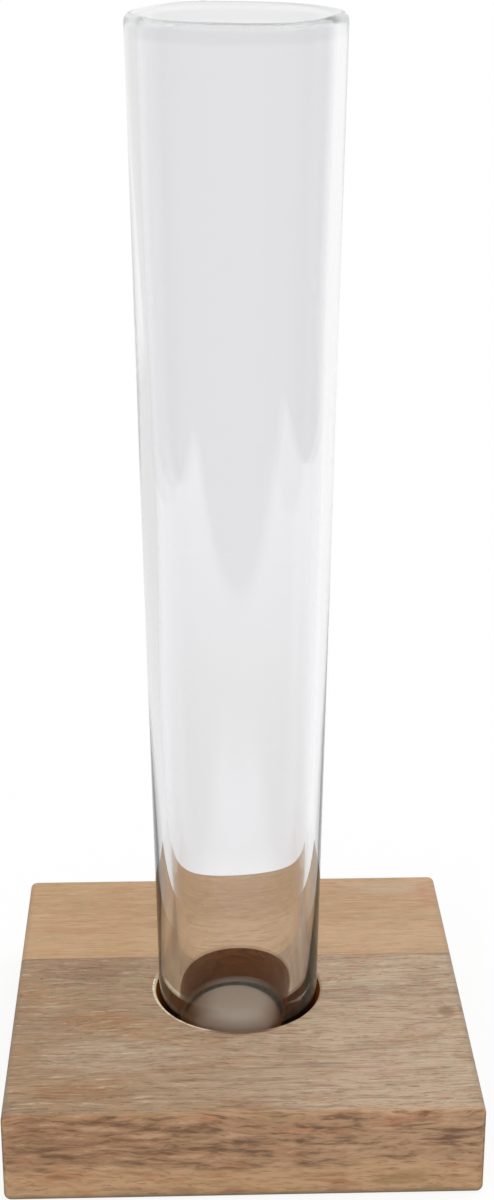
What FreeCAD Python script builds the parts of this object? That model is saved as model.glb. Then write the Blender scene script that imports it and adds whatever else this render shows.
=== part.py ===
import FreeCAD, Part
import math
import os

# A tall clear glass tube for rooting cuttings, which stands loose in a shallow round seat
# in the middle of a square wooden block. The block is two boards glued edge to edge.
# Millimetres. The origin is the centre of the block's underside, on the surface it stands on.
# +Z is up along the tube, +X is along the grain and +Y is towards the rear, narrower board.

# Wooden block
BLOCK_WIDTH = 100.0
FRONT_STAVE_DEPTH = 63.0
REAR_STAVE_DEPTH = 37.0
BLOCK_THICKNESS = 20.0
CORNER_RADIUS = 1.6
TOP_EDGE_RADIUS = 1.0
UNDERSIDE_EDGE_RADIUS = 1.2

# Blind seat for the tube, drilled in the top of the block
SEAT_DEPTH = 10.0
SEAT_CLEARANCE = 0.8
SEAT_MOUTH_BREAK = 0.4
CUT_OVERRUN = 1.0

# Glass tube, with a wall that swells at the heel above a solid foot whose underside is hollow
TUBE_LENGTH = 224.4
FOOT_DIAMETER = 35.3
RIM_DIAMETER = 43.1
FOOT_WALL = 2.8
RIM_WALL = 2.5
HEEL_SWELL = 2.8
HEEL_HEIGHT = 85.0
FOOT_THICKNESS = 4.0
FOOT_EDGE_RADIUS = 2.0
INNER_CORNER_RADIUS = 3.0
UNDERSIDE_HOLLOW = 0.5
RIM_CROWN = 2.0

ORIGIN = FreeCAD.Vector(0, 0, 0)
UP = FreeCAD.Vector(0, 0, 1)
FULL_TURN = 360
RIM_POINTS = 8
RIGHT_ANGLE = math.radians(90)


def share_up_tube(height, at_foot, at_rim):
    """A size of the tube at a height above its underside, between its two ends."""
    return at_foot + (at_rim - at_foot) * height / TUBE_LENGTH


def outer_radius(height):
    return share_up_tube(height, FOOT_DIAMETER / 2, RIM_DIAMETER / 2)


def heel(height):
    """How much thicker the wall is near the foot, on a parabola that ends at HEEL_HEIGHT."""
    return HEEL_SWELL * max(0, 1 - height / HEEL_HEIGHT) ** 2


def inner_radius(height):
    return outer_radius(height) - share_up_tube(height, FOOT_WALL, RIM_WALL) - heel(height)


def seat_radius():
    """The tube's widest radius inside the block, and the clearance round it."""
    return max(outer_radius(0), outer_radius(SEAT_DEPTH)) + SEAT_CLEARANCE


def seat_floor():
    return BLOCK_THICKNESS - SEAT_DEPTH


def profile_point(radius, height):
    return FreeCAD.Vector(radius, 0, height)


def corner_arc(radius_at, floor_height, edge_radius):
    """Three points of the arc that joins a level floor to the wall whose radius radius_at gives.

    The arc starts on the floor, and it is tangent to the floor and to the wall beside it.
    """
    lean = math.atan2(radius_at(floor_height + edge_radius) - radius_at(floor_height), edge_radius)
    reach = edge_radius * (1 - math.sin(lean)) / math.cos(lean)
    centre_radius = radius_at(floor_height) - reach
    centre_height = floor_height + edge_radius

    def point_at(angle):
        return profile_point(centre_radius + edge_radius * math.cos(angle),
                             centre_height + edge_radius * math.sin(angle))

    return point_at(-RIGHT_ANGLE), point_at(-(RIGHT_ANGLE + lean) / 2), point_at(-lean)


def underside_point(radius, contact_radius):
    """A point of the hollow underside, which is part of a ball that rests on the contact ring."""
    ball_radius = (contact_radius ** 2 + UNDERSIDE_HOLLOW ** 2) / (2 * UNDERSIDE_HOLLOW)
    drop = ball_radius - math.sqrt(ball_radius ** 2 - radius ** 2)
    return profile_point(radius, UNDERSIDE_HOLLOW - drop)


def arc(start, middle, end):
    return Part.Arc(start, middle, end).toShape()


def half_oval(outside, inside, rise):
    """Half of an oval that goes up from outside and down to inside, which lie at one height."""
    middle = (outside + inside) / 2
    half_width = (outside - inside) / 2
    turns = [math.pi * i / RIM_POINTS for i in range(1, RIM_POINTS)]
    crown = [middle + half_width * math.cos(turn) + UP * rise * math.sin(turn) for turn in turns]
    curve = Part.BSplineCurve()
    curve.interpolate(Points=[outside] + crown + [inside], InitialTangent=UP, FinalTangent=-UP)
    return curve.toShape()


def turned(edges):
    """The solid that a closed profile sweeps in one turn about the tube's axis."""
    return Part.Face(Part.Wire(edges)).revolve(ORIGIN, UP, FULL_TURN)


def make_glass_tube():
    """An open tapered tube with a rounded rim and a thick foot, standing in its seat."""
    foot_start, foot_middle, foot_end = corner_arc(outer_radius, 0, FOOT_EDGE_RADIUS)
    floor_start, floor_middle, floor_end = corner_arc(inner_radius, FOOT_THICKNESS,
                                                      INNER_CORNER_RADIUS)
    crown_height = TUBE_LENGTH - RIM_CROWN
    rim_outside = profile_point(outer_radius(crown_height), crown_height)
    rim_inside = profile_point(inner_radius(crown_height), crown_height)
    heel_top = profile_point(inner_radius(HEEL_HEIGHT), HEEL_HEIGHT)
    heel_middle_height = (HEEL_HEIGHT + floor_end.z) / 2
    heel_middle = profile_point(inner_radius(heel_middle_height), heel_middle_height)
    underside_centre = underside_point(0, foot_start.x)
    underside_middle = underside_point(foot_start.x / 2, foot_start.x)
    floor_centre = profile_point(0, FOOT_THICKNESS)
    tube = turned([
        arc(underside_centre, underside_middle, foot_start),
        arc(foot_start, foot_middle, foot_end),
        Part.makeLine(foot_end, rim_outside),
        half_oval(rim_outside, rim_inside, RIM_CROWN),
        Part.makeLine(rim_inside, heel_top),
        arc(heel_top, heel_middle, floor_end),
        arc(floor_end, floor_middle, floor_start),
        Part.makeLine(floor_start, floor_centre),
        Part.makeLine(floor_centre, underside_centre),
    ])
    tube.translate(UP * seat_floor())
    return tube


def make_seat_cutter():
    """The drilled seat with its eased mouth, run on above the block so that it cuts clean."""
    mouth_radius = seat_radius() + SEAT_MOUTH_BREAK
    outline = [
        profile_point(0, seat_floor()),
        profile_point(seat_radius(), seat_floor()),
        profile_point(seat_radius(), BLOCK_THICKNESS - SEAT_MOUTH_BREAK),
        profile_point(mouth_radius, BLOCK_THICKNESS),
        profile_point(mouth_radius, BLOCK_THICKNESS + CUT_OVERRUN),
        profile_point(0, BLOCK_THICKNESS + CUT_OVERRUN),
    ]
    return turned([Part.makeLine(outline[i - 1], outline[i]) for i in range(len(outline))])


def rounded(solid, radius, on_edge):
    """The solid with every edge that on_edge picks rounded to one radius."""
    return solid.makeFillet(radius, [edge for edge in solid.Edges if on_edge(edge)])


def make_block():
    """The whole block, rounded on its corners and edges, with the seat drilled in its top."""
    depth = FRONT_STAVE_DEPTH + REAR_STAVE_DEPTH
    corner = FreeCAD.Vector(-BLOCK_WIDTH / 2, -depth / 2, 0)
    block = Part.makeBox(BLOCK_WIDTH, depth, BLOCK_THICKNESS, corner)
    middle_height = BLOCK_THICKNESS / 2
    block = rounded(block, CORNER_RADIUS, lambda edge: edge.BoundBox.ZLength > middle_height)
    block = rounded(block, TOP_EDGE_RADIUS, lambda edge: edge.BoundBox.ZMin > middle_height)
    block = rounded(block, UNDERSIDE_EDGE_RADIUS, lambda edge: edge.BoundBox.ZMax < middle_height)
    return block.cut(make_seat_cutter())


def make_stave(block, depth, side):
    """One board of the block: side is -1 for the front board and 1 for the rear one."""
    glue_line = (FRONT_STAVE_DEPTH - REAR_STAVE_DEPTH) / 2
    front = glue_line if side > 0 else glue_line - depth
    board = Part.makeBox(BLOCK_WIDTH, depth, BLOCK_THICKNESS,
                         FreeCAD.Vector(-BLOCK_WIDTH / 2, front, 0))
    return block.common(board)


def save(node, shape):
    """Write one node's single solid, after a check that it is sound."""
    solid = shape.Solids[0]
    assert len(shape.Solids) == 1 and solid.isValid(), node
    solid.exportStep(os.path.join("parts", node + ".step"))
    box = solid.BoundBox
    print(f"{node}: volume {solid.Volume:.0f} mm3, z {box.ZMin:.2f} to {box.ZMax:.2f}")


def main():
    os.makedirs("parts", exist_ok=True)
    block = make_block()
    save("base_front_stave", make_stave(block, FRONT_STAVE_DEPTH, -1))
    save("base_rear_stave", make_stave(block, REAR_STAVE_DEPTH, 1))
    save("glass_tube", make_glass_tube())


main()
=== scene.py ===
import math

import bmesh
import bpy
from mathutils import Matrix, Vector


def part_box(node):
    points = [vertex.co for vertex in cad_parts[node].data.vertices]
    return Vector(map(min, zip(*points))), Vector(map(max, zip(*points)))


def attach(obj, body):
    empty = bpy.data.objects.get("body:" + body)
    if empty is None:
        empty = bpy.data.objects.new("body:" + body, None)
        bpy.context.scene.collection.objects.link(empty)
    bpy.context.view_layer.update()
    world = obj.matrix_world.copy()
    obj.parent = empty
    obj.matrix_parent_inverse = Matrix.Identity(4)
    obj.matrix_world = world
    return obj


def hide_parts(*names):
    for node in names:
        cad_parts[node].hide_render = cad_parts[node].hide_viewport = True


# A clear glass tube standing in a block of two glued boards. Metres, in the frame's own axes.
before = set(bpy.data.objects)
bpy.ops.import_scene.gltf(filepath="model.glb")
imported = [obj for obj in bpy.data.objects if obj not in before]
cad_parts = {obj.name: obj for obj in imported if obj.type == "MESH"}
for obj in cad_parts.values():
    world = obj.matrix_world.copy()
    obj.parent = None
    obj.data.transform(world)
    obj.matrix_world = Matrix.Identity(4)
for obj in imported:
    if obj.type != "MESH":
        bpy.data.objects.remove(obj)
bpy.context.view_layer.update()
MM = 0.001

# The photograph's frame, and the camera that was fitted to the object's outline in it.
PHOTO_HEIGHT_PX = 1200
FOCAL_LENGTH_PX = 2096.6
SENSOR_MM = 36.0
CAMERA_PLACE = Vector((-10.3, -411.3, 275.2)) * MM
CAMERA_YAW = math.radians(1.72)
CAMERA_PITCH = math.radians(21.38)
CAMERA_NEAR = 0.02

# Places that the frame gives.
FRONT_LOW, FRONT_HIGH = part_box("base_front_stave")
TUBE_LOW, TUBE_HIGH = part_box("glass_tube")
BLOCK_TOP = FRONT_HIGH.z
SEAT_FLOOR = TUBE_LOW.z

# The glass tube's wall, measured from its underside.
TUBE_LENGTH = TUBE_HIGH.z - TUBE_LOW.z
RIM_RADIUS = 21.55 * MM
FOOT_RADIUS = 17.65 * MM
RIM_WALL = 2.5 * MM
FOOT_WALL = 2.8 * MM
FOOT_THICKNESS = 4.0 * MM
FOOT_EDGE_RADIUS = 2.0 * MM
INNER_CORNER_RADIUS = 3.0 * MM
HEEL_SWELL = 2.8 * MM
HEEL_HEIGHT = 85.0 * MM
UNDERSIDE_HOLLOW = 0.5 * MM
RIM_CROWN = 2.0 * MM
BORE_FLOOR = SEAT_FLOOR + FOOT_THICKNESS


class Nodes:
    """Short ways to add the nodes of one material or world."""

    def __init__(self, tree):
        self.tree = tree
        tree.nodes.clear()

    def put(self, socket, value):
        if isinstance(value, bpy.types.NodeSocket):
            self.tree.links.new(value, socket)
        else:
            socket.default_value = value

    def add(self, kind, settings=None, **sockets):
        node = self.tree.nodes.new("ShaderNode" + kind)
        for name, value in (settings or {}).items():
            setattr(node, name, value)
        for name, value in sockets.items():
            self.put(node.inputs[name.replace("_", " ")], value)
        return node

    def math(self, operation, first, second=0.0, third=0.0, clamp=False):
        node = self.add("Math", {"operation": operation, "use_clamp": clamp})
        for socket, value in zip(node.inputs, (first, second, third)):
            self.put(socket, value)
        return node.outputs[0]

    def product(self, *factors):
        result = factors[0]
        for factor in factors[1:]:
            result = self.math("MULTIPLY", result, factor)
        return result

    def blend(self, share, first, second):
        """A number that goes from first to second as share goes from 0 to 1."""
        return self.math("MULTIPLY_ADD", share, self.math("SUBTRACT", second, first), first)

    def ease(self, value, low, high, out_low=0.0, out_high=1.0):
        """A smooth step from out_low at low to out_high at high."""
        node = self.add("MapRange", {"interpolation_type": "SMOOTHSTEP"})
        for socket, setting in zip(node.inputs, (value, low, high, out_low, out_high)):
            self.put(socket, setting)
        return node.outputs[0]

    def vector(self, operation, first, second):
        node = self.add("VectorMath", {"operation": operation})
        self.put(node.inputs[0], first)
        self.put(node.inputs[1], second)
        return node.outputs[0]

    def length(self, vector):
        return self.add("VectorMath", {"operation": "LENGTH"}, Vector=vector).outputs["Value"]

    def xyz(self, vector):
        return self.add("SeparateXYZ", Vector=vector).outputs

    def from_axis(self, x, y):
        """The distance from the tube's axis."""
        return self.math("SQRT", self.math("ADD", self.math("MULTIPLY", x, x), self.math("MULTIPLY", y, y)))

    def noise(self, place, kind):
        """Noise of one kind: how often it changes along each axis, its detail, roughness and distortion."""
        changes, detail, roughness, distortion = kind
        node = self.add("TexNoise", Vector=self.vector("MULTIPLY", place, changes), Scale=1.0,
                        Detail=detail, Roughness=roughness, Distortion=distortion)
        return node.outputs["Fac"]

    def mix(self, share, first, second):
        node = self.add("Mix", {"data_type": "RGBA"})
        colours = [socket for socket in node.inputs if socket.type == "RGBA"]
        self.put(node.inputs[0], share)
        self.put(colours[0], first)
        self.put(colours[1], second)
        return node.outputs[2]

    def mix_shader(self, share, first, second):
        node = self.add("MixShader")
        for socket, value in zip(node.inputs, (share, first.outputs[0], second.outputs[0])):
            self.put(socket, value)
        return node


def rgb(red, green, blue):
    """A colour as it shows on screen, from 0 to 255, as the linear values that a shader takes."""
    def linear(value):
        value /= 255
        return value / 12.92 if value <= 0.04045 else ((value + 0.055) / 1.055) ** 2.4

    return linear(red), linear(green), linear(blue), 1.0


def new_material(name):
    material = bpy.data.materials.new(name)
    material.use_nodes = True
    return material, Nodes(material.node_tree)


def add_object(name, mesh_name, mesh):
    """A new object in the scene from a finished bmesh."""
    data = bpy.data.meshes.new(mesh_name)
    mesh.to_mesh(data)
    mesh.free()
    new_object = bpy.data.objects.new(name, data)
    bpy.context.scene.collection.objects.link(new_object)
    return new_object


# Wood. Its pattern is written in millimetres, with the grain along X.

TOP_MM = BLOCK_TOP / MM
SEAT_FLOOR_MM = SEAT_FLOOR / MM
GLUE_LINE_MM = FRONT_HIGH.y / MM
HALF_WIDTH_MM = FRONT_HIGH.x / MM
FRONT_MM = FRONT_LOW.y / MM
SEAT_RADIUS_MM = 18.6
MOUTH_BREAK_MM = 0.4
MOUTH_MM = SEAT_RADIUS_MM + MOUTH_BREAK_MM

# The noises in the wood: how often each changes in a millimetre along X, Y and Z, then its detail, its
# roughness and its distortion.
BEND = (0.02, 0.05, 0.05), 1.0, 0.55, 0.0
RIPPLE = (0.11, 0.12, 0.12), 2.0, 0.55, 0.0
PATCHES = (0.035, 0.11, 0.11), 3.0, 0.6, 0.0
WARMTH = (0.05, 0.16, 0.16), 3.0, 0.65, 0.0
BANDS = (0.03, 0.5, 0.5), 4.0, 0.65, 0.0
STREAKS = (0.11, 1.5, 1.5), 4.0, 0.7, 0.0
FLECKS = (0.32, 2.6, 2.6), 2.0, 0.6, 0.0
MOTTLE = (0.5, 0.8, 0.8), 2.0, 0.55, 0.0
RAGGED_EDGE = (0.16, 0.7, 0.7), 3.0, 0.55, 0.0
FACE_WANDER = (0.06, 0.2, 0.2), 2.0, 0.55, 0.0
FACE_PATCHES = (0.07, 0.3, 0.3), 3.0, 0.65, 0.0
FACE_MARKS = (0.13, 0.8, 0.8), 4.0, 0.6, 0.35
FACE_STREAKS = (0.3, 2.2, 2.2), 3.0, 0.6, 0.0
# How far the second set of noises lies from the first, so that the two don't match.
OTHER_PLACE_MM = (31.0, 57.0, 13.0)

# Layers of colour, in the order in which they are laid on. Each has its noise, the noise's values where the
# layer begins and where it is full, and the names of the most that it covers and of its colour.
BROAD_LAYERS = (
    ("patches", 0.50, 0.70, "patch_share", "patch"),
    ("warmth", 0.50, 0.72, "warm_share", "warm"),
)
GRAIN_LAYERS = (
    ("bands", 0.47, 0.68, "band_share", "band"),
    ("streaks", 0.50, 0.68, "streak_share", "streak"),
    ("streaks", 0.46, 0.30, "light_share", "light"),
    ("flecks", 0.55, 0.72, "fleck_share", "fleck"),
    ("mottle", 0.50, 0.68, "mottle_share", "red"),
    ("mottle", 0.50, 0.32, "mottle_share", "green"),
)
FACE_BROAD_LAYERS = (
    ("patches", 0.52, 0.66, "warm_share", "warm"),
    ("patches", 0.46, 0.34, "olive_share", "olive"),
)
FACE_GRAIN_LAYERS = (
    ("marks", 0.44, 0.32, "light_share", "light"),
    ("streaks", 0.54, 0.70, "streak_share", "mark"),
)

# In each pair below, and in every pair that fades something in, it begins at the first value and is full at
# the second. Two more numbers are what it gives at those two. A share is the most that a colour covers.

# On the top, the edges and the ends of both boards.
# Lighter to the right: partly painted light falling from the right, partly the wood's own tone.
LEFT_TO_RIGHT = -42.0, 42.0
SPOT_RAGGEDNESS = 1.1
SPOT_RIM = 1.0, 0.35
GLUE_LINE_WIDTH = 0.45, 0.05
GLUE_SHARE = 0.45
END_NORMAL = 0.6, 0.95
END_SHARE = 0.45
# Painted shade on the rounded outer edges of both boards.
EDGE_SHADE_BAND = HALF_WIDTH_MM - 1.6, HALF_WIDTH_MM - 0.2
EDGE_SHADE_SHARE = 0.3

# On the front face of the front board, whose marks are weaker in its lower part.
FACE_DEPTH = FRONT_MM + 2.6, FRONT_MM + 0.6
# Lighter to the right: partly painted light falling from the right, partly the wood's own tone.
FACE_LEFT_TO_RIGHT = -40.0, 45.0
FACE_LOW_PART = 14.0, 9.5
FACE_WANDER_MM = 8.0
FACE_MARK_RANGE = 0.44, 0.68
FACE_MARK_SHARE = 0.9
FACE_LOW_MARK_SHARE = 0.35
# Painted shade along the rounded bottom edge of the front face.
FACE_FOOT_SHADE = 1.9, 0.6
FACE_FOOT_SHADE_SHARE = 0.8

# In the seat: rings by their distance from its axis, and places by their height.
BORED = MOUTH_MM + 0.1, MOUTH_MM
# A painted highlight on the seat's edge at the front left, broken up by the flecks.
HIGHLIGHT_RING = MOUTH_MM + 0.5, MOUTH_MM + 0.25
HIGHLIGHT_HEIGHT = TOP_MM - 1.0, TOP_MM - 0.1
HIGHLIGHT_BY_FLECKS = 0.62, 0.45, 0.35, 0.9
LIT_FRONT_LEFT = -11.0, -17.0
LIT_FROM_LEFT = -18.0, -8.0
SHADED_RING = MOUTH_MM + 0.9, MOUTH_MM + 0.4
SHADED_FRONT = -17.4, -18.6
SHADED_SHARE = 0.7
CHAMFER_TOP = TOP_MM, TOP_MM - 0.1
CHAMFER_BOTTOM = SEAT_FLOOR_MM + 2.0, SEAT_FLOOR_MM + 4.0
# The chamfer is pale raw wood, with more of it painted on as a highlight where the light catches it at the
# front left.
CHAMFER_SHARE = 0.1
LIT_CHAMFER_SHARE = 0.8
WALL_TOP = TOP_MM - 0.4, TOP_MM - 0.6
WALL_BOTTOM = SEAT_FLOOR_MM - 1.0, SEAT_FLOOR_MM - 0.5
WALL_STREAKS = 0.42, 0.62
FLOOR_TOP = SEAT_FLOOR_MM + 0.5, SEAT_FLOOR_MM + 0.1
FLOOR_BOTTOM = SEAT_FLOOR_MM - 0.5, SEAT_FLOOR_MM - 0.1
# A painted pool of light on the seat floor, with painted shade towards the wall around it.
LIT_SEAT_FLOOR_CENTRE = (1.0, 7.5, SEAT_FLOOR_MM)
LIT_SEAT_FLOOR_HALF_SIZE = (14.5, 16.5, 6.0)

# The wood's gloss, its roughness by the value of the streaks, and its fine relief.
GLOSS = 0.4
ROUGHNESS_BY_STREAKS = 0.3, 0.7, 0.52, 0.68
RELIEF_STRENGTH = 0.3
RELIEF_HEIGHT = 0.15 * MM

FACE = {
    "left": rgb(186, 138, 96), "right": rgb(204, 160, 120), "low": rgb(222, 176, 128),
    "warm": rgb(196, 130, 80), "warm_share": 0.6, "olive": rgb(170, 136, 80), "olive_share": 0.5,
    "mark": rgb(104, 66, 30), "streak_share": 0.5, "light": rgb(224, 184, 148), "light_share": 0.6,
    # The last colour is painted shade along the face's bottom edge.
    "foot_shade": rgb(132, 122, 96),
}
# In the seat, the cream at the edge is a painted highlight, the chamfer is pale raw wood, the dark floor
# colour is painted shade towards the wall, and the pale floor colour is a painted pool of light.
SEAT = {
    "rim_highlight": rgb(255, 244, 214), "chamfer": rgb(226, 206, 176),
    "wall": rgb(132, 70, 20), "wall_streak": rgb(92, 48, 14),
    "floor": rgb(104, 66, 34), "lit_seat_floor": rgb(190, 178, 170),
}
FRONT_BOARD = {
    "left": rgb(171, 141, 110), "right": rgb(194, 170, 145),
    "patch": rgb(150, 130, 108), "patch_share": 0.5, "warm": rgb(186, 136, 94), "warm_share": 0.45,
    "band": rgb(146, 118, 92), "band_share": 0.5, "streak": rgb(122, 92, 68), "streak_share": 0.65,
    "light": rgb(216, 196, 170), "light_share": 0.6, "fleck": rgb(104, 76, 56), "fleck_share": 0.6,
    "red": rgb(196, 140, 112), "green": rgb(164, 154, 112), "mottle_share": 0.22,
    # The edge colour is painted shade on the rounded outer edges.
    "end": rgb(140, 104, 72), "edge": rgb(126, 110, 98), "face": FACE,
    "bend_mm": 6.0, "ripple_mm": 1.6, "offset_mm": (0.0, 0.0, 0.0),
    "spots": (
        # the middle of each patch, its half size, its colour and how much it covers
        ((-34.0, 6.0, TOP_MM), (18.0, 8.0, 5.0), rgb(146, 116, 90), 0.6),
        ((-24.0, 2.0, TOP_MM), (6.0, 4.0, 4.0), rgb(176, 164, 128), 0.5),
        ((-31.0, -13.0, TOP_MM), (12.0, 4.5, 4.0), rgb(168, 120, 78), 0.65),
        ((-28.0, -27.0, TOP_MM), (20.0, 8.0, 4.0), rgb(196, 178, 154), 0.45),
        ((28.0, -34.0, TOP_MM), (8.0, 4.0, 4.0), rgb(200, 164, 146), 0.5),
        ((-34.0, -41.0, TOP_MM), (14.0, 4.0, 4.0), rgb(152, 112, 76), 0.6),
        ((-3.0, -47.0, TOP_MM), (14.0, 4.0, 4.0), rgb(160, 122, 90), 0.6),
        ((46.0, -12.0, TOP_MM), (2.4, 3.0, 4.0), rgb(134, 102, 78), 0.7),
    ),
}
REAR_BOARD = {
    "left": rgb(198, 162, 124), "right": rgb(202, 168, 134),
    "patch": rgb(186, 156, 124), "patch_share": 0.4, "warm": rgb(200, 154, 114), "warm_share": 0.4,
    "band": rgb(182, 146, 108), "band_share": 0.45, "streak": rgb(166, 130, 94), "streak_share": 0.5,
    "light": rgb(218, 190, 156), "light_share": 0.5, "fleck": rgb(150, 112, 80), "fleck_share": 0.4,
    "red": rgb(206, 150, 118), "green": rgb(184, 164, 116), "mottle_share": 0.2,
    # The edge colour is painted shade on the rounded outer edges.
    "end": rgb(168, 130, 92), "edge": rgb(150, 126, 106),
    "bend_mm": 4.0, "ripple_mm": 1.0, "offset_mm": (40.0, 90.0, 30.0),
    "spots": (
        ((0.0, 38.0, TOP_MM), (70.0, 13.0, 8.0), rgb(184, 148, 112), 0.55),
        ((1.0, 24.0, TOP_MM), (26.0, 12.0, 4.0), rgb(222, 188, 152), 0.5),
        ((-40.0, 26.0, TOP_MM), (12.0, 2.0, 4.0), rgb(190, 132, 92), 0.4),
        ((38.0, 44.0, TOP_MM), (14.0, 4.0, 6.0), rgb(196, 172, 150), 0.6),
        ((47.0, 40.0, TOP_MM), (3.0, 9.0, 6.0), rgb(196, 140, 114), 0.5),
    ),
}


def spot(n, place, centre, half_size, raggedness=0.0):
    """1 in the middle of an oval patch of the wood, and 0 outside it."""
    away = n.vector("DIVIDE", n.vector("SUBTRACT", place, centre), half_size)
    ragged = n.math("MULTIPLY_ADD", n.noise(place, RAGGED_EDGE), raggedness, -raggedness / 2)
    return n.ease(n.math("ADD", n.length(away), ragged), *SPOT_RIM)


def bent_grain(n, place, look):
    """Places in a board whose grain wanders and ripples, and which has its own part of the pattern."""
    ripple = n.math("MULTIPLY", n.noise(place, RIPPLE), look["ripple_mm"])
    bend = n.math("MULTIPLY_ADD", n.noise(place, BEND), look["bend_mm"], ripple)
    shift = n.add("CombineXYZ", Y=bend, Z=bend).outputs[0]
    return n.vector("ADD", n.vector("ADD", place, shift), look["offset_mm"])


def add_layers(n, colour, layers, noises, look):
    for noise, begins, full, share, tint in layers:
        colour = n.mix(n.ease(noises[noise], begins, full, 0.0, look[share]), colour, look[tint])
    return colour


def face_colour(n, place, grain, look):
    """The front face of the front board: brown, wavy marks above, smoother, lighter tan below, and painted
    shade along its bottom edge.
    """
    x, _, z = n.xyz(place)
    noises = {"patches": n.noise(grain, FACE_PATCHES), "marks": n.noise(grain, FACE_MARKS),
              "streaks": n.noise(grain, FACE_STREAKS)}
    wander = n.math("MULTIPLY_ADD", n.noise(place, FACE_WANDER), FACE_WANDER_MM, z)
    low = n.ease(wander, *FACE_LOW_PART)
    # Lighter to the right: partly painted light from the right, partly the wood's own tone.
    colour = n.mix(n.ease(x, *FACE_LEFT_TO_RIGHT), look["left"], look["right"])
    colour = n.mix(low, colour, look["low"])
    colour = add_layers(n, colour, FACE_BROAD_LAYERS, noises, look)
    mark_share = n.blend(low, FACE_MARK_SHARE, FACE_LOW_MARK_SHARE)
    marks = n.product(n.ease(noises["marks"], *FACE_MARK_RANGE), mark_share)
    colour = n.mix(marks, colour, look["mark"])
    colour = add_layers(n, colour, FACE_GRAIN_LAYERS, noises, look)
    return n.mix(n.ease(z, *FACE_FOOT_SHADE, 0.0, FACE_FOOT_SHADE_SHARE), colour, look["foot_shade"])


def edge_colour(n, colour, place, normal, look):
    """The glue line, the end grain and painted shade on the rounded outer edges, laid over a board's colour.
    """
    x, y, _ = n.xyz(place)
    from_glue = n.math("ABSOLUTE", n.math("SUBTRACT", y, GLUE_LINE_MM))
    colour = n.mix(n.ease(from_glue, *GLUE_LINE_WIDTH, 0.0, GLUE_SHARE), colour, look["streak"])
    end = n.math("ABSOLUTE", n.xyz(normal)[0])
    colour = n.mix(n.ease(end, *END_NORMAL, 0.0, END_SHARE), colour, look["end"])
    # Painted shade on the rounded outer edges.
    outward = n.math("MAXIMUM", n.math("ABSOLUTE", x), n.math("ABSOLUTE", y))
    return n.mix(n.ease(outward, *EDGE_SHADE_BAND, 0.0, EDGE_SHADE_SHARE), colour, look["edge"])


def seat_colour(n, colour, place, noises):
    """The drilled seat, laid over a board's colour, and the share of its dark wall.

    Its edge has a painted highlight at the front left and a painted shadow line at the front. Its chamfer is
    pale raw wood, painted brighter at the front left, and its floor has painted shade towards the wall and a
    painted pool of light in the middle.
    """
    x, y, z = n.xyz(place)
    radius = n.from_axis(x, y)
    bored = n.ease(radius, *BORED)
    lit = n.product(n.ease(n.math("ADD", x, y), *LIT_FRONT_LEFT),
                    n.ease(n.math("SUBTRACT", y, x), *LIT_FROM_LEFT))
    # A painted highlight along the seat's edge at the front left, where the light catches it.
    rim_highlight = n.product(n.ease(radius, *HIGHLIGHT_RING), n.ease(z, *HIGHLIGHT_HEIGHT), lit,
                     n.ease(noises["flecks"], *HIGHLIGHT_BY_FLECKS))
    colour = n.mix(rim_highlight, colour, SEAT["rim_highlight"])
    shaded = n.product(n.ease(radius, *SHADED_RING), n.ease(y, *SHADED_FRONT), SHADED_SHARE)
    colour = n.mix(shaded, colour, SEAT["wall_streak"])
    # The chamfer: pale raw wood, with a painted highlight at the front left.
    chamfer = n.product(bored, n.ease(z, *CHAMFER_TOP), n.ease(z, *CHAMFER_BOTTOM),
                        n.blend(lit, CHAMFER_SHARE, LIT_CHAMFER_SHARE))
    colour = n.mix(chamfer, colour, SEAT["chamfer"])
    wall = n.product(bored, n.ease(z, *WALL_TOP), n.ease(z, *WALL_BOTTOM))
    streaked = n.mix(n.ease(noises["streaks"], *WALL_STREAKS), SEAT["wall"], SEAT["wall_streak"])
    colour = n.mix(wall, colour, streaked)
    # The seat floor: painted shade towards the wall, and a painted pool of light in its middle.
    pale = spot(n, place, LIT_SEAT_FLOOR_CENTRE, LIT_SEAT_FLOOR_HALF_SIZE)
    on_floor = n.product(bored, n.ease(z, *FLOOR_TOP), n.ease(z, *FLOOR_BOTTOM))
    return n.mix(on_floor, colour, n.mix(pale, SEAT["floor"], SEAT["lit_seat_floor"])), wall


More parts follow.
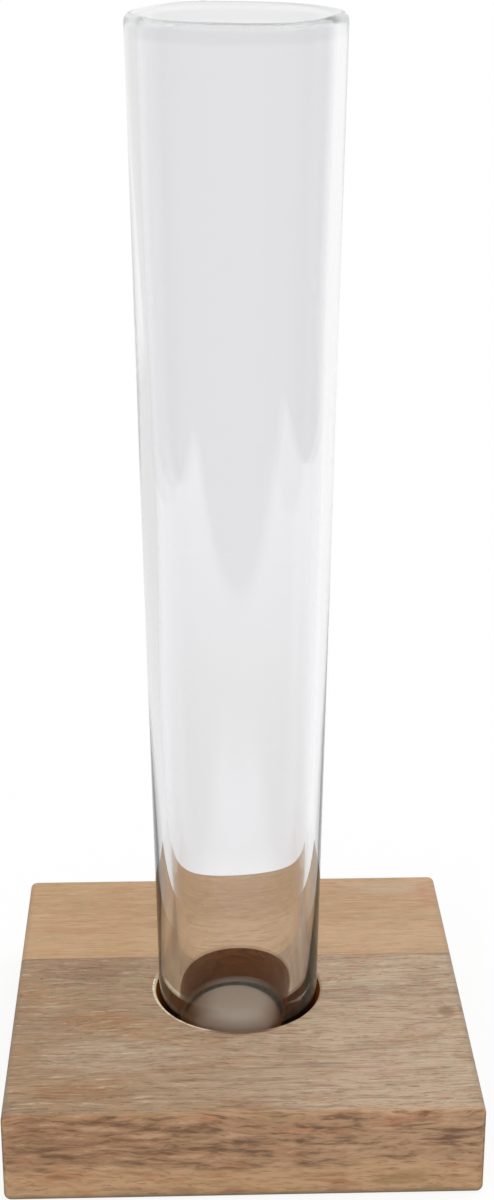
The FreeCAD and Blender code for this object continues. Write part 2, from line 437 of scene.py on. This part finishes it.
def board_material(name, look):
    """Sanded wood with its grain along X, as a solid pattern: streaks on the long faces, dots on the ends."""
    material, n = new_material(name)
    coordinates = n.add("TexCoord").outputs
    place = n.vector("MULTIPLY", coordinates["Object"], (1 / MM, 1 / MM, 1 / MM))
    x, y, _ = n.xyz(place)
    grain = bent_grain(n, place, look)
    other = n.vector("ADD", grain, OTHER_PLACE_MM)
    noises = {"patches": n.noise(grain, PATCHES), "warmth": n.noise(other, WARMTH),
              "bands": n.noise(grain, BANDS), "streaks": n.noise(grain, STREAKS),
              "flecks": n.noise(other, FLECKS), "mottle": n.noise(other, MOTTLE)}

    # Lighter to the right: partly painted light from the right, partly the wood's own tone.
    colour = n.mix(n.ease(x, *LEFT_TO_RIGHT), look["left"], look["right"])
    colour = add_layers(n, colour, BROAD_LAYERS, noises, look)
    for centre, half_size, tint, share in look["spots"]:
        mark = n.product(spot(n, place, centre, half_size, SPOT_RAGGEDNESS), share)
        colour = n.mix(mark, colour, tint)
    colour = add_layers(n, colour, GRAIN_LAYERS, noises, look)
    if "face" in look:
        colour = n.mix(n.ease(y, *FACE_DEPTH), colour, face_colour(n, place, grain, look["face"]))
    colour = edge_colour(n, colour, place, coordinates["Normal"], look)
    colour, wall = seat_colour(n, colour, place, noises)

    relief = n.math("MULTIPLY", n.math("ADD", noises["flecks"], noises["streaks"]), 0.5)
    bump = n.add("Bump", Strength=RELIEF_STRENGTH, Distance=RELIEF_HEIGHT, Height=relief)
    shader = n.add("BsdfPrincipled", Base_Color=colour, Normal=bump.outputs[0],
                   Roughness=n.ease(noises["streaks"], *ROUGHNESS_BY_STREAKS),
                   Specular_IOR_Level=n.blend(wall, GLOSS, 0.0))
    n.add("OutputMaterial", Surface=shader.outputs[0])
    return material


def dress_boards():
    for node, slot, look in (("base_front_stave", "front_board_wood", FRONT_BOARD),
                             ("base_rear_stave", "rear_board_wood", REAR_BOARD)):
        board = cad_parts[node]
        board.data.materials.clear()
        board.data.materials.append(board_material(slot, look))


# The tube's form

SEGMENTS = 192
WALL_STEPS = 72
FOOT_EDGE_STEPS = 10
INNER_CORNER_STEPS = 16
UNDERSIDE_STEPS = 8
RIM_STEPS = 20

# The slow unevenness of hand-made glass, as a sum of waves.
WAVES = (
    # around, along (turns over the tube's length), share of the size, phase
    (1, 0.7, 0.50, 0.4),
    (2, 1.6, 0.35, 2.1),
    (3, 2.3, 0.20, 4.4),
    (1, 3.7, 0.16, 1.3),
    (5, 1.2, 0.06, 3.0),
)
OUTER_WAVE = 0.10 * MM
INNER_WAVE = 0.16 * MM
INNER_PHASE = 1.9
EVEN_FOOT_HEIGHT = 20 * MM
RIM_WAVES = (
    # around, share of the size, phase
    (3, 0.50, 0.8),
    (5, 0.35, 2.0),
)
RIM_WAVE = 0.22 * MM
UNEVEN_RIM_HEIGHT = 6 * MM
BORE_DRIFT = 1.0 * MM
DRIFT_HEIGHT = 36 * MM


def along(height, at_foot, at_rim):
    return at_foot + (at_rim - at_foot) * height / TUBE_LENGTH


def outer_radius(height):
    return along(height, FOOT_RADIUS, RIM_RADIUS)


def heel(height):
    """How much thicker the wall grows towards the foot, on a parabola that ends at HEEL_HEIGHT."""
    return HEEL_SWELL * max(0.0, 1 - height / HEEL_HEIGHT) ** 2


def inner_radius(height):
    return outer_radius(height) - along(height, FOOT_WALL, RIM_WALL) - heel(height)


def corner_points(radius_at, floor, edge_radius, steps):
    """The quarter arc from a level floor up to the leaning wall, as (radius, height) pairs."""
    lean = math.atan2(radius_at(floor + edge_radius) - radius_at(floor), edge_radius)
    centre = radius_at(floor) - edge_radius * (1 - math.sin(lean)) / math.cos(lean)
    start = -math.pi / 2
    angles = [start + (-lean - start) * i / steps for i in range(steps + 1)]
    return [(centre + edge_radius * math.cos(a), floor + edge_radius * (1 + math.sin(a))) for a in angles]


def underside_points(contact_radius):
    """The slightly hollow underside, from its middle out to the ring that the tube stands on."""
    shares = [i / UNDERSIDE_STEPS for i in range(1, UNDERSIDE_STEPS)]
    return [(contact_radius * share, UNDERSIDE_HOLLOW * (1 - share ** 2)) for share in shares]


def wall_points(radius_at, low, high):
    heights = [low + (high - low) * i / WALL_STEPS for i in range(1, WALL_STEPS)]
    return [(radius_at(height), height) for height in heights]


def rim_points():
    """The rounded rim, from the outer wall over the top to the inner wall."""
    low = TUBE_LENGTH - RIM_CROWN
    middle = (outer_radius(low) + inner_radius(low)) / 2
    half = (outer_radius(low) - inner_radius(low)) / 2
    turns = [math.pi * i / RIM_STEPS for i in range(RIM_STEPS + 1)]
    return [(middle + half * math.cos(turn), low + RIM_CROWN * math.sin(turn)) for turn in turns]


def unevenness(angle, height, phase):
    """The waves together, from about -1 to 1."""
    turn = height / TUBE_LENGTH * math.tau
    return sum(size * math.cos(around * angle + shift + phase) * math.cos(turn * up + 2 * shift + phase)
               for around, up, size, shift in WAVES)


def rim_lift(angle, height):
    """How far the rim's waves move a point. They only lower it, so that the tube keeps to its box."""
    rise = max(0.0, 1 - (TUBE_LENGTH - height) / UNEVEN_RIM_HEIGHT)
    wave = sum(size * math.cos(around * angle + shift) for around, size, shift in RIM_WAVES)
    return RIM_WAVE * rise * (wave - 1)


def bore_drift(height):
    """How far the bore lies to the left of the tube's axis, near the foot."""
    return BORE_DRIFT * max(0.0, 1 - height / DRIFT_HEIGHT) ** 2


def add_ring(mesh, radius, height, inside):
    """One ring of the skin's points. The inside has waves of its own, and drifts near the foot."""
    size, phase = (INNER_WAVE, INNER_PHASE) if inside else (OUTER_WAVE, 0.0)
    size *= min(1.0, height / EVEN_FOOT_HEIGHT)
    drift = bore_drift(height) if inside else 0.0
    ring = []
    for i in range(SEGMENTS):
        angle = math.tau * i / SEGMENTS
        reach = radius + unevenness(angle, height, phase) * size
        ring.append(mesh.verts.new((reach * math.cos(angle) - drift, reach * math.sin(angle),
                                    TUBE_LOW.z + height + rim_lift(angle, height))))
    return ring


def close_end(mesh, ring, height, drift):
    """A fan of faces from a ring to the middle of the floor or the underside."""
    centre = mesh.verts.new((-drift, 0, TUBE_LOW.z + height))
    for i in range(SEGMENTS):
        mesh.faces.new((ring[i - 1], ring[i], centre))


def make_tube():
    """The tube as one closed skin, turned from the same sizes as the solid, with slight waves."""
    foot = corner_points(outer_radius, 0.0, FOOT_EDGE_RADIUS, FOOT_EDGE_STEPS)
    floor = corner_points(inner_radius, FOOT_THICKNESS, INNER_CORNER_RADIUS, INNER_CORNER_STEPS)
    rim = rim_points()
    half_rim = len(rim) // 2
    outer = underside_points(foot[0][0]) + foot + wall_points(outer_radius, foot[-1][1], rim[0][1])
    outer += rim[:half_rim]
    inner = floor + wall_points(inner_radius, floor[-1][1], rim[-1][1]) + rim[:half_rim - 1:-1]
    mesh = bmesh.new()
    rings = [add_ring(mesh, radius, height, inside=False) for radius, height in outer]
    rings += [add_ring(mesh, radius, height, inside=True) for radius, height in reversed(inner)]
    for low, high in zip(rings, rings[1:]):
        for i in range(SEGMENTS):
            mesh.faces.new((low[i - 1], low[i], high[i], high[i - 1]))
    close_end(mesh, rings[0], UNDERSIDE_HOLLOW, 0.0)
    close_end(mesh, rings[-1], FOOT_THICKNESS, bore_drift(FOOT_THICKNESS))
    bmesh.ops.recalc_face_normals(mesh, faces=mesh.faces)
    tube = add_object("blown_glass_tube", "glass_tube_skin", mesh)
    tube.data.polygons.foreach_set("use_smooth", [True] * len(tube.data.polygons))
    tube.data.materials.append(glass_material())
    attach(tube, "tube")
    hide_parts("glass_tube")


# Glass

GLASS_IOR = 1.5
GLASS_RIPPLE = (60.0, 60.0, 14.0), 1.0, 0.55, 0.0
RIPPLE_STRENGTH = 0.2
RIPPLE_HEIGHT = 0.1 * MM

# The glass's tint in the seat, just above it, higher up and at the rim, and the heights where each begins.
SEAT_TINT = (0.95, 0.88, 0.76, 1.0)
HEEL_TINT = (1.0, 1.0, 1.0, 1.0)
BODY_TINT = (0.938, 0.938, 0.948, 1.0)
RIM_TINT = (0.89, 0.89, 0.90, 1.0)
HEEL_TINT_BEGINS = BLOCK_TOP - 0.5 * MM, BLOCK_TOP + 1.5 * MM
BODY_TINT_BEGINS = BLOCK_TOP + 18 * MM, BLOCK_TOP + 30 * MM
RIM_TINT_BEGINS = TUBE_HIGH.z - 4.9 * MM, TUBE_HIGH.z - 3.4 * MM

# The frosted floor of the bore.
FROST_RADIUS = 15.5 * MM, 14.5 * MM
FROST_TOP = BORE_FLOOR + 6.5 * MM, BORE_FLOOR + 3.5 * MM
FROST_BOTTOM = BORE_FLOOR - 2.0 * MM, BORE_FLOOR - 1.0 * MM
FROST_ROUGHNESS = 0.2
FROST_SHARE = 0.95
FROST_TINT = (0.98, 0.97, 0.96, 1.0)

# Where light leaks out of the glass: high up, after so many turns inside it, and at the front of the rim.
# Turns are counted in whole numbers, so a limit lies halfway between two.
LEAK_TINT = (0.93, 0.94, 0.935, 1.0)
LEAK_BEGINS = 120 * MM, 180 * MM
MOST_TURNS = 3.5
CROWN_BEGINS = TUBE_HIGH.z - 1.8 * MM, TUBE_HIGH.z - 0.8 * MM
CROWN_FRONT = -8 * MM, -14 * MM
CROWN_SHARE = 0.7
SHADOW_TINT = (0.985, 0.985, 0.98, 1.0)


def glass_material():
    """Clear, faintly grey glass with a frosted floor. Lamps shine through it, as through the real thing."""
    material, n = new_material("clear_glass")
    place = n.add("TexCoord").outputs["Object"]
    x, y, z = n.xyz(place)
    tint = n.mix(n.ease(z, *HEEL_TINT_BEGINS), SEAT_TINT, HEEL_TINT)
    tint = n.mix(n.ease(z, *BODY_TINT_BEGINS), tint, BODY_TINT)
    tint = n.mix(n.ease(z, *RIM_TINT_BEGINS), tint, RIM_TINT)
    frost = n.product(n.ease(n.from_axis(x, y), *FROST_RADIUS), n.ease(z, *FROST_TOP),
                      n.ease(z, *FROST_BOTTOM))
    bump = n.add("Bump", Strength=RIPPLE_STRENGTH, Distance=RIPPLE_HEIGHT,
                 Height=n.noise(place, GLASS_RIPPLE))
    polished = n.add("BsdfPrincipled", Base_Color=tint, Normal=bump.outputs[0], IOR=GLASS_IOR,
                     Roughness=n.product(frost, FROST_ROUGHNESS), Transmission_Weight=1.0)
    frosted = n.add("BsdfRefraction", {"distribution": "GGX"}, Color=FROST_TINT,
                    Roughness=FROST_ROUGHNESS, IOR=GLASS_IOR)
    glass = n.mix_shader(n.product(frost, FROST_SHARE), polished, frosted)

    open_glass = n.add("BsdfTransparent", Color=LEAK_TINT)
    glass = n.mix_shader(n.product(trapped(n), n.ease(z, *LEAK_BEGINS)), glass, open_glass)
    crown = n.product(n.ease(z, *CROWN_BEGINS), n.ease(y, *CROWN_FRONT), CROWN_SHARE)
    glass = n.mix_shader(crown, glass, open_glass)
    in_shadow = n.add("BsdfTransparent", Color=SHADOW_TINT)
    glass = n.mix_shader(n.add("LightPath").outputs["Is Shadow Ray"], glass, in_shadow)
    n.add("OutputMaterial", Surface=glass.outputs[0])
    return material


def trapped(n):
    """1 for rays that have been turned inside the glass so often that real, uneven glass lets them out."""
    return n.math("GREATER_THAN", n.add("LightPath").outputs["Glossy Depth"], MOST_TURNS)


# Stage

WHITE = 1.0
PLAIN = (1.0, 1.0, 1.0, 1.0)
NO_TURN = 0.5
FLOOR_CORNERS = ((-0.40, -0.295), (0.44, -0.295), (0.44, 3.0), (-0.40, 3.0))
PAPER_WHITENESS = 0.8
# How much of the paper's white takes the object's shadow, as the camera sees it, and how far that goes.
SHADOW_SHARE = 0.12
SHADOW_REACH = 0.15, 0.34

# The floor as polished surfaces show it, as painted reflections: brighter away from the object and to the
# right, white behind it, with a painted bright strip in front, and a painted warm reflection of the wood
# close to it.
GAIN_PER_METRE = 1.7
GAIN_TO_RIGHT_PER_METRE = 0.5
BEHIND = -0.04, 0.06
WHITE_BEHIND_LEFT_TO_RIGHT = -0.25, 0.15, 0.82, 1.0
STRIP_FRONT = -0.18, -0.14
STRIP_REAR = -0.04, -0.07
STRIP_HALF_WIDTH = 0.11, 0.05
STRIP_GLOW = 0.4
WOOD_REFLECTION_REACH = 0.32, 0.12
WOOD_REFLECTION_FRONT = 0.04, -0.02
WOOD_REFLECTION_TINT = (1.0, 0.74, 0.48, 1.0)

# The room: an even light on the object, and what polished surfaces show of it, by direction.
AMBIENT = 0.6
ROOM_BY_HEIGHT = -0.05, 0.35, 0.10, 1.0
BACKDROP = 0.15, 0.6
BACKDROP_LEFT_TO_RIGHT = -0.5, 0.3, 0.82, WHITE
OVERHEAD = 0.55, 0.85, 1.0, 0.0

LAMPS = (
    # name, place, side of its square, watts
    ("key_softbox", Vector((0.45, 0.25, 1.15)), 0.8, 5.5),
    ("fill_softbox", Vector((-0.5, -0.9, 0.55)), 0.7, 3.5),
)
LAMP_AIM = Vector((0, 0, 0.08))


def mirrored(n):
    """1 for rays that a polished surface has turned, however they went on through the glass."""
    return n.math("GREATER_THAN", n.add("LightPath").outputs["Glossy Depth"], NO_TURN)


def seen_directly(n):
    """1 for rays from the camera, and for those that only passed through glass; 0 once they have bounced."""
    path = n.add("LightPath").outputs
    seen = n.math("MAXIMUM", path["Is Camera Ray"], path["Is Transmission Ray"])
    return n.product(seen, n.math("SUBTRACT", 1.0, mirrored(n)))


def floor_material():
    """Paper that the camera sees as plain white, with the object's soft shadow on it."""
    material, n = new_material("floor_paper")
    place = n.add("TexCoord").outputs["Object"]
    x, y, _ = n.xyz(place)
    distance = n.length(place)
    seen = seen_directly(n)
    turned = mirrored(n)
    shaded = n.ease(distance, *SHADOW_REACH, SHADOW_SHARE, 0.0)
    whiteness = n.product(n.blend(seen, PAPER_WHITENESS, shaded), n.math("SUBTRACT", 1.0, turned))

    gain = n.math("MULTIPLY", distance, GAIN_PER_METRE)
    reflected = n.math("MULTIPLY_ADD", x, GAIN_TO_RIGHT_PER_METRE, gain, clamp=True)
    behind = n.ease(y, *BEHIND, 0.0, n.ease(x, *WHITE_BEHIND_LEFT_TO_RIGHT))
    reflected = n.math("MAXIMUM", reflected, behind)
    strip = n.product(n.ease(y, *STRIP_FRONT), n.ease(y, *STRIP_REAR),
                      n.ease(n.math("ABSOLUTE", x), *STRIP_HALF_WIDTH))
    reflected = n.math("MULTIPLY_ADD", strip, STRIP_GLOW, reflected)
    glow = n.math("MULTIPLY_ADD", seen, n.math("SUBTRACT", WHITE, shaded), n.product(turned, reflected))
    # A painted warm reflection of the wood on the floor near it, for rays that polished surfaces turned.
    warm = n.product(n.ease(distance, *WOOD_REFLECTION_REACH), n.ease(y, *WOOD_REFLECTION_FRONT),
                     n.math("SUBTRACT", turned, strip, clamp=True))

    both = n.add("AddShader")
    n.put(both.inputs[0], n.add("BsdfDiffuse", Color=whiteness).outputs[0])
    n.put(both.inputs[1], n.add("Emission", Color=n.mix(warm, PLAIN, WOOD_REFLECTION_TINT), Strength=glow).outputs[0])
    n.add("OutputMaterial", Surface=both.outputs[0])
    return material


def make_floor():
    """A pale sheet, no wider than a table, whose edges show in the glass as the photograph has them."""
    mesh = bmesh.new()
    mesh.faces.new([mesh.verts.new((x, y, 0.0)) for x, y in FLOOR_CORNERS])
    floor = add_object("floor", "floor", mesh)
    floor.data.materials.append(floor_material())


def make_world():
    """White behind the object, plain soft light on it, and in its reflections a dimmer room in front."""
    world = bpy.data.worlds.new("studio")
    world.use_nodes = True
    bpy.context.scene.world = world
    n = Nodes(world.node_tree)
    right, rear, up = n.xyz(n.add("TexCoord").outputs["Generated"])
    room = n.ease(up, *ROOM_BY_HEIGHT)
    backdrop = n.ease(right, *BACKDROP_LEFT_TO_RIGHT)
    reflected = n.product(n.blend(n.ease(rear, *BACKDROP), room, backdrop), n.ease(up, *OVERHEAD))
    strength = n.blend(mirrored(n), AMBIENT, reflected)
    strength = n.blend(seen_directly(n), strength, WHITE)
    background = n.add("Background", Color=PLAIN, Strength=strength)
    n.add("OutputWorld", Surface=background.outputs[0])


def make_lamps():
    """Soft square lamps that point at the object's middle, and that neither glass nor polish shows."""
    for name, place, side, watts in LAMPS:
        lamp = bpy.data.lights.new(name, "AREA")
        lamp.shape = "SQUARE"
        lamp.size = side
        lamp.energy = watts
        holder = bpy.data.objects.new(name, lamp)
        bpy.context.scene.collection.objects.link(holder)
        holder.location = place
        holder.rotation_euler = (LAMP_AIM - place).to_track_quat("-Z", "Y").to_euler()
        holder.visible_glossy = False
        holder.visible_transmission = False


def make_camera():
    camera = bpy.data.objects.new("camera", bpy.data.cameras.new("camera"))
    bpy.context.scene.collection.objects.link(camera)
    camera.data.sensor_width = SENSOR_MM
    camera.data.lens = FOCAL_LENGTH_PX / PHOTO_HEIGHT_PX * SENSOR_MM
    camera.data.clip_start = CAMERA_NEAR
    camera.location = CAMERA_PLACE
    camera.rotation_euler = (math.pi / 2 - CAMERA_PITCH, 0.0, -CAMERA_YAW)
    bpy.context.scene.camera = camera


bpy.context.scene.view_settings.view_transform = "Standard"
dress_boards()
make_tube()
make_floor()
make_world()
make_lamps()
make_camera()
